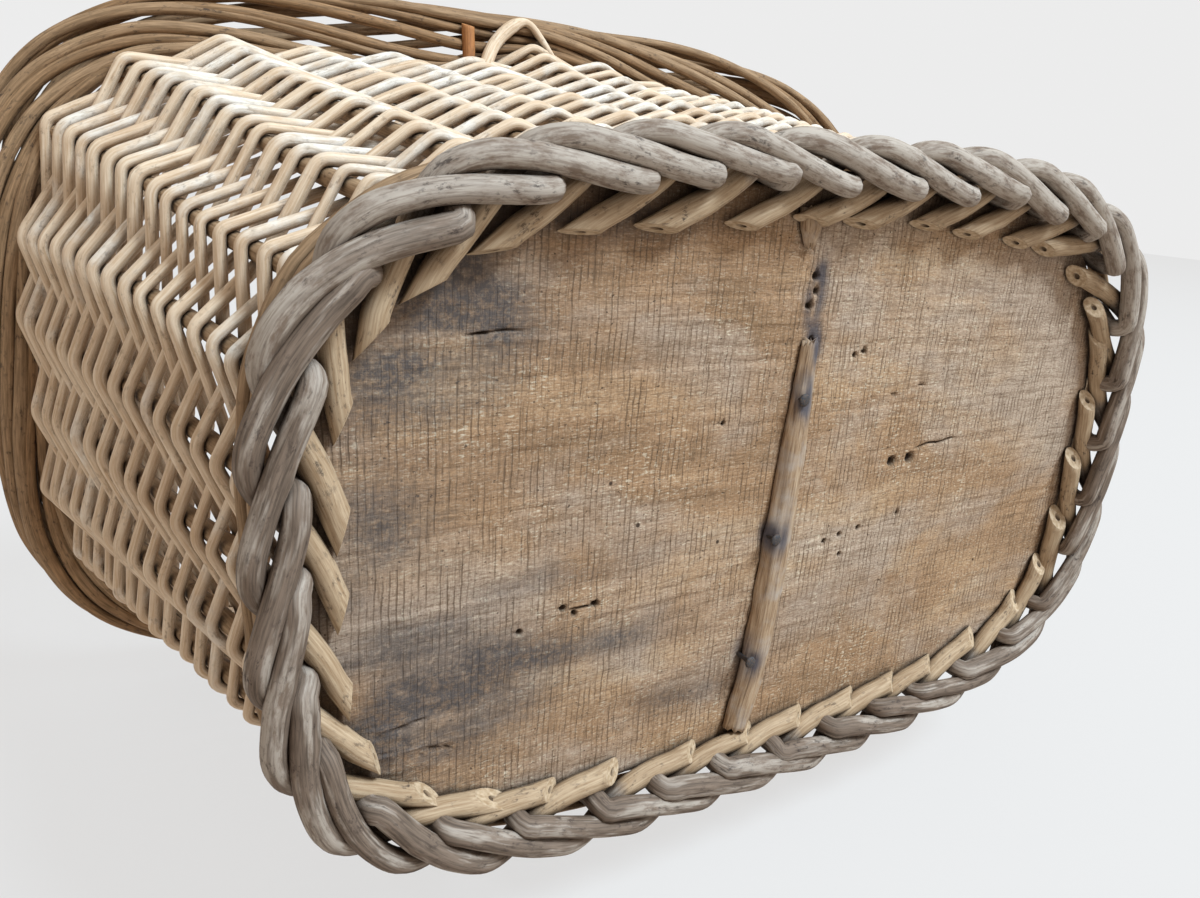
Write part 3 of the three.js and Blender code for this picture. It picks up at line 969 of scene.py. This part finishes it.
def mould_at(x, y):
    """Where dark mould has spread over the underside."""
    spread = 0.05 + 0.13 * rising(x, -70, -150)
    for (mx, my), (sx, sy), strength in MOULD:
        spread = spread + strength * np.exp(-(((x - mx) / sx) ** 2) - ((y - my) / sy) ** 2)
    patches = 0.85 + 0.55 * plane_noise(x * 0.5, y, 16, 7) + 0.45 * plane_noise(x * 0.4, y, 6, 8)
    return np.clip(spread * patches * 1.35, 0, 0.97)


def iron_stain_at(x, y):
    """Blue-black stains round the nails, and in the empty nail holes."""
    stain = np.zeros_like(x)
    places = [plan_of(node)[1] for node in NAIL_NODES] + [place for place, _ in NAIL_HOLES]
    for px, py in places:
        reach = ((x - px - 1.5) / IRON_STAIN[0]) ** 2 + ((y - py) / IRON_STAIN[1]) ** 2
        stain = np.maximum(stain, 1.3 * np.exp(-reach) - 0.2)
    return np.clip(stain * (0.75 + 0.9 * plane_noise(x, y * 0.5, 3.0, 9)), 0, 0.85)


def board_grid():
    """The plank's grid: places from -1 to 1 each way, and where they lie in plan."""
    half = BOARD_HALF + PLANK_OVERHANG
    spots = np.array([place for place, _ in WORM_HOLES + NAIL_HOLES]) - BOARD_CENTRE
    cracks_y = np.array([place[1] for place, _, _ in CRACKS]) - BOARD_CENTRE[1]
    a = grid_lines(half[0], spots[:, 0])
    b = grid_lines(half[1], np.append(spots[:, 1], cracks_y))
    a, b = np.meshgrid(a, b, indexing="ij")
    unit_x, unit_y = to_outline(a, b)
    return a, b, BOARD_CENTRE[0] + unit_x * half[0], BOARD_CENTRE[1] + unit_y * half[1]


def flat_points(x, y, z):
    return np.stack([x.reshape(-1), y.reshape(-1), z.reshape(-1)], -1)


def add_band(parts, lower, upper):
    """Faces between two closed rings of points, given by their numbers."""
    parts.add_faces(np.stack([lower, upper, np.roll(upper, -1), np.roll(lower, -1)], -1))


def add_board_edge(parts, points, low_ring, top_ring):
    """The plank's rough side, in four rings between the rings round its two faces."""
    count = len(points)
    out = unit_rows(points - BOARD_CENTRE)
    last = low_ring
    for share in (0.2, 0.4, 0.6, 0.8):
        rough = 0.5 * plane_noise(points[:, 0] + points[:, 1], np.full(count, share * 12), 3.0, 12)
        ring = points + out * (rough - 0.3)[:, None]
        height = np.full((count, 1), BOARD_LOW + 1.2 + share * (BOARD_HIGH - BOARD_LOW - 2.4))
        ring = np.concatenate([ring, height], -1)
        joined = parts.add(ring, ring, age=0.35) + np.arange(count)
        add_band(parts, last, joined)
        last = joined
    add_band(parts, last, top_ring)


def make_board():
    a, b, x, y = board_grid()
    cut, hole = board_face_height(x, y)
    worn = np.clip((np.maximum(np.abs(a), np.abs(b)) - 1 + EDGE_SHARE) / EDGE_SHARE, 0, 1)
    under = flat_points(x, y, BOARD_LOW + 0.55 + cut + 1.2 * worn)
    mould = mould_at(x, y).reshape(-1)
    parts = MeshParts()
    low = parts.add(under, under, age=mould, cut=np.clip(hole.reshape(-1) * 1.2, 0, 1),
                    brown=iron_stain_at(x, y).reshape(-1))
    top_cut = 0.3 * plane_noise(x, y * 0.2, 3.0, 11) + worn
    top = parts.add(flat_points(x, y, BOARD_HIGH - 0.4 - top_cut), under, age=0.3 * mould)
    rows, columns = a.shape
    number = np.arange(rows * columns).reshape(rows, columns)
    corner = number[:-1, :-1].reshape(-1)
    down = np.stack([corner, corner + 1, corner + columns + 1, corner + columns], -1)
    parts.add_faces(low + down)
    parts.add_faces(top + down[:, ::-1])
    edge = np.concatenate([number[0, :-1], number[:-1, -1], number[-1, :0:-1], number[:0:-1, 0]])
    add_board_edge(parts, under[edge, :2], edge + low, edge + top)
    parts.object("plank", BOARD_WOOD, "board_wood", "base_board")


# ---- Split rod, stub and nails ----
def half_round(sides):
    """A split rod's section: a flat side and a round side, as a closed line."""
    angle = np.linspace(0, np.pi, sides // 2 + 1)
    round_side = np.stack([np.cos(angle), np.sin(angle)], -1)
    flat_x = np.linspace(-1, 1, sides - sides // 2 + 1)[1:-1]
    return np.concatenate([round_side, np.stack([flat_x, np.full(len(flat_x), -0.02)], -1)])


def make_split_rod(name, node, line, widths, depths, seed):
    """A split rod under the plank, flat side up, with ragged ends. `line` is its plan."""
    top = box_mm(node)[1][2]
    path = smooth_path(np.array([(x, y, top) for x, y in line]), 1.6)
    along = lengths_along(path)
    share = along / along[-1]
    width = np.interp(share, np.linspace(0, 1, len(widths)), widths) / 2
    depth = np.interp(share, np.linspace(0, 1, len(depths)), depths)
    section = half_round(26)
    ridges = 1 + 0.09 * wander(along, 9, (seed, 1), len(section))
    ridges = ridges * (1 + 0.05 * rng(seed, 2).uniform(-1, 1, len(section)))
    direction = directions(path)
    side = unit_rows(np.cross(DOWN, direction))
    across = np.stack([width, depth], -1)[:, None] * section * ridges[..., None]
    n, sides = ridges.shape
    points, marks = swept(path, side, np.broadcast_to(DOWN, side.shape), across)
    points[..., 2] = np.minimum(points[..., 2], top)
    ragged = rng(seed, 3).uniform(-1, 1, (2, sides))
    points[0] -= direction[0] * (1.2 * ragged[0])[:, None]
    points[-1] += direction[-1] * (1.6 * ragged[1])[:, None]
    stain = iron_stain_at(points[..., 0], points[..., 1])
    parts = MeshParts()
    first = parts.add(points.reshape(-1, 3), marks.reshape(-1, 3), brown=stain.reshape(-1))
    parts.skin(first, n, sides)
    for end, flip in ((0, True), (n - 1, False)):
        centre = points[end].mean(0)
        start = parts.add(centre + (points[end] - centre) * 0.05, marks[end] * 0.2)
        pair = (start, first + end * sides) if flip else (first + end * sides, start)
        parts.quads(*pair, sides, flat=True)
    parts.object(name, SPLIT_ROD, "split_rod", node)


# The split rod bends as it goes. The middle of its course, and its widths from end to end.
BATTEN_COURSE = ((-12.2, 69.3), (-8.8, 25.2), (-6.4, -22.5))
BATTEN_ENDS_X = (-17.4, -5.6)
BATTEN_WIDTHS = (9.0, 10.5, 10.8, 9.8, 6.0)
STUB_WIDTHS = (8.0, 7.4, 4.0)


def make_split_rods():
    low, high = box_mm("batten")
    depth = high[2] - low[2]
    line = ((BATTEN_ENDS_X[0], high[1]), *BATTEN_COURSE, (BATTEN_ENDS_X[1], low[1] + 1.5))
    depths = (depth, depth, depth * 0.9, depth * 0.8, 2.2)
    make_split_rod("split_rod", "batten", line, BATTEN_WIDTHS, depths, 20)
    low, high = box_mm("batten_stub")
    depth = high[2] - low[2]
    x, y = (low[:2] + high[:2]) / 2
    line = ((x - 0.6, low[1]), (x, y), (x + 0.6, high[1]))
    make_split_rod("split_rod_stub", "batten_stub", line, STUB_WIDTHS, (depth, depth * 0.9, 1.4), 21)


# A nail head's outline: share of its radius, and share of its height above its lowest point.
NAIL_PROFILE = ((0.02, 0.0), (0.35, 0.02), (0.7, 0.12), (0.93, 0.32), (1.0, 0.55), (0.97, 0.85),
                (0.85, 1.0), (0.4, 1.05))
NAIL_HEAD_HEIGHT = 1.3
NAIL_SIDES = 28


def make_nail(node):
    """A domed, dented head on a shank that comes to a point."""
    low, high = box_mm(node)
    centre = (low + high)[:2] / 2
    head = (high[0] - low[0]) / 2
    section = round_section(NAIL_SIDES)
    dents = 1 + 0.05 * rng(30, int(node[-1])).uniform(-1, 1, NAIL_SIDES)
    rings = [(share * dents, low[2] + depth * NAIL_HEAD_HEIGHT) for share, depth in NAIL_PROFILE]
    rings += [(np.full(NAIL_SIDES, 0.38), high[2] - 3.0), (np.full(NAIL_SIDES, 0.03), high[2])]
    parts = MeshParts()
    last = None
    for shares, z in rings:
        plan = centre + section * (head * shares)[:, None]
        points = np.concatenate([plan, np.full((NAIL_SIDES, 1), z)], -1)
        start = parts.add(points, points)
        if last is not None:
            parts.quads(start, last, NAIL_SIDES)
        last = start
    parts.object(node + "_old", OLD_IRON, "iron_nail", node)


# ---- What is left of the handle ----
PEG_RADIUS = 2.8
# The loop's course inside its box: it rises thick, turns over the rim's edge and comes back thin.
LOOP_PLACES = ((0.0, 1.25, -0.3), (0.16, 0.7, 0.35), (0.36, 0.28, 0.68), (0.52, 0.10, 0.78),
               (0.60, 0.14, 0.76), (0.72, 0.45, 0.55), (0.84, 0.9, 0.2))
LOOP_SHARES, LOOP_RADII = (0, 0.5, 0.62, 1), (2.9, 2.9, 1.8, 1.6)


def make_handle_rod(name, replaced, path, radius, material, slot, **settings):
    parts = MeshParts()
    axes = carried_axes(directions(path), (0, 0, 1))
    add_tube(parts, path, radius, axes, **settings)
    parts.object(name, material, slot, replaced)


def make_handle():
    low, high = box_mm("handle_peg")
    middle = (low[0] + high[0]) / 2
    path = smooth_path([(middle, high[1] + 5, low[2] + 2.5), (middle, low[1], high[2] - PEG_RADIUS)], 2)
    radius = knotty_radius(np.full(len(path), PEG_RADIUS), lengths_along(path), ROD_SIDES, (40,))
    make_handle_rod("handle_peg_rod", "handle_peg", path, radius, HANDLE_WILLOW, "rim_willow",
                    grain_shift=50.0, cuts=(None, (0.1, -1, -0.25)))
    low, high = box_mm("handle_loop")
    path = smooth_path([low + (high - low) * place for place in LOOP_PLACES], 1.5)
    along = lengths_along(path)
    base = np.interp(along / along[-1], LOOP_SHARES, LOOP_RADII)
    radius = knotty_radius(base, along, ROD_SIDES, (41,), 0.05)
    make_handle_rod("handle_loop_rod", "handle_loop", path, radius, WEAVER_WILLOW, "weaver_willow",
                    grain_shift=90.0, age=0.3)


# ---- Stage ----
SHEET_REACH = 4.0
SHEET_DEPTH = -0.014  # metres, low enough that the floor does not add painted crevice shade to the rods
SHEET_GLOW = 0.67  # keeps the sheets pale all over
SHEET_COLOUR = 0.12


def stage_material(name, upwards):
    """Pale and matt, seen only by the camera, from its front, and only from below where `upwards`."""
    s = Shader(bpy.data.materials.new(name))
    facing = s.node("NewGeometry")
    front = s.math("SUBTRACT", 1.0, facing.outputs["Backfacing"])
    front = s.times(front, s.node("LightPath").outputs["Is Camera Ray"])
    towards_camera = s.node("SeparateXYZ", {0: facing.outputs["Incoming"]}).outputs["Z"]
    if upwards:
        climb = s.times(towards_camera, -1.0)
        front = s.times(front, s.ramp(climb, (0.1, 0.0), (0.22, 1.0)))
    matt = s.node("BsdfDiffuse", {"Color": (SHEET_COLOUR, SHEET_COLOUR, SHEET_COLOUR, 1)})
    glow = s.node("Emission", {"Color": (1, 1, 1, 1), "Strength": SHEET_GLOW})
    both = s.node("AddShader", {0: matt.outputs[0], 1: glow.outputs[0]})
    clear = s.node("BsdfTransparent")
    seen = s.node("MixShader", {0: front, 1: clear.outputs[0], 2: both.outputs[0]})
    return s.output(seen)


def make_sheet(name, centre, across, up, material):
    """A large flat sheet whose front faces across x up."""
    mesh = bpy.data.meshes.new(name)
    a, b, c = Vector(across), Vector(up), Vector(centre)
    mesh.from_pydata([c - a - b, c + a - b, c + a + b, c - a + b], [], [(0, 1, 2, 3)])
    mesh.materials.append(material)
    add_object(name, mesh)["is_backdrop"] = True


def make_stage():
    side = (RIM_CENTRE[1] + RIM_HALF[1] + 1.0) * MM
    along_x, along_y, along_z = np.eye(3) * SHEET_REACH
    make_sheet("sheet_beside", (0, side, 0), along_x, along_z, stage_material("pale_side", True))
    make_sheet("sheet_below", (0, 0, SHEET_DEPTH), along_x, along_y, stage_material("pale_floor", False))


# The one lamp is a large soft disc below and in front of the basket. Places are in metres.
KEY_PLACE, KEY_TARGET = (1.3, -3.1, -1.9), (0, 0, 0.1)
KEY_SIZE, KEY_POWER, KEY_COLOUR = 1.3, 229, (0.75, 0.89, 1.0)
BACKDROP = (0.84, 0.84, 0.84)
ROOM_COLOUR, ROOM_STRENGTH = (1.0, 0.93, 0.85), 0.63


def make_key_light():
    data = bpy.data.lights.new("key", "AREA")
    data.shape = "DISK"
    data.size = KEY_SIZE
    data.energy = KEY_POWER
    data.color = KEY_COLOUR
    lamp = add_object("key", data)
    lamp.location = KEY_PLACE
    lamp.rotation_mode = "QUATERNION"
    lamp.rotation_quaternion = (Vector(KEY_TARGET) - Vector(KEY_PLACE)).to_track_quat("-Z", "Y")


def make_world():
    """An even pale backdrop for the camera, and a warmer, dimmer light for the object."""
    s = Shader(bpy.data.worlds.new("pale_room"))
    seen = s.node("Background", {"Color": (*BACKDROP, 1)})
    lit = s.node("Background", {"Color": (*ROOM_COLOUR, 1), "Strength": ROOM_STRENGTH})
    by_camera = s.node("LightPath").outputs["Is Camera Ray"]
    both = s.node("MixShader", {0: by_camera, 1: lit.outputs[0], 2: seen.outputs[0]})
    bpy.context.scene.world = s.output(both, "OutputWorld")


# The camera looks up at the basket's underside from beyond its -X, -Y corner. Its place is in mm.
CAMERA_PLACE = (-211.7, -90.8, -191.4)
CAMERA_FORWARD = (0.512, 0.305, 0.803)
CAMERA_DOWN = (-0.105, 0.950, -0.295)
CAMERA_LENS = 27.19


def make_camera():
    data = bpy.data.cameras.new("camera")
    data.lens = CAMERA_LENS
    data.sensor_width = 36
    data.clip_start = 0.01
    camera = add_object("camera", data)
    forward = Vector(CAMERA_FORWARD).normalized()
    right = Vector(CAMERA_DOWN).cross(forward).normalized()
    down = forward.cross(right)
    turn = Matrix((right, -down, -forward)).transposed()
    camera.matrix_world = Matrix.Translation(Vector(CAMERA_PLACE) * MM) @ turn.to_4x4()
    bpy.context.scene.camera = camera


# ---- Assembly ----
for stake_index in range(STAKE_COUNT):
    make_rod(stake_index)
for row_index in range(ROW_COUNT):
    make_row(row_index)
for packing_index in range(len(PACKING)):
    make_packing(packing_index)
make_board()
make_split_rods()
for nail in NAIL_NODES:
    make_nail(nail)
make_handle()
make_stage()
make_world()
make_key_light()
make_camera()
bpy.context.scene.view_settings.view_transform = "Standard"

visual_bounds = [list(corner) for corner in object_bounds()]
{"cad": [list(corner) for corner in CAD_BOUNDS], "visual": visual_bounds}
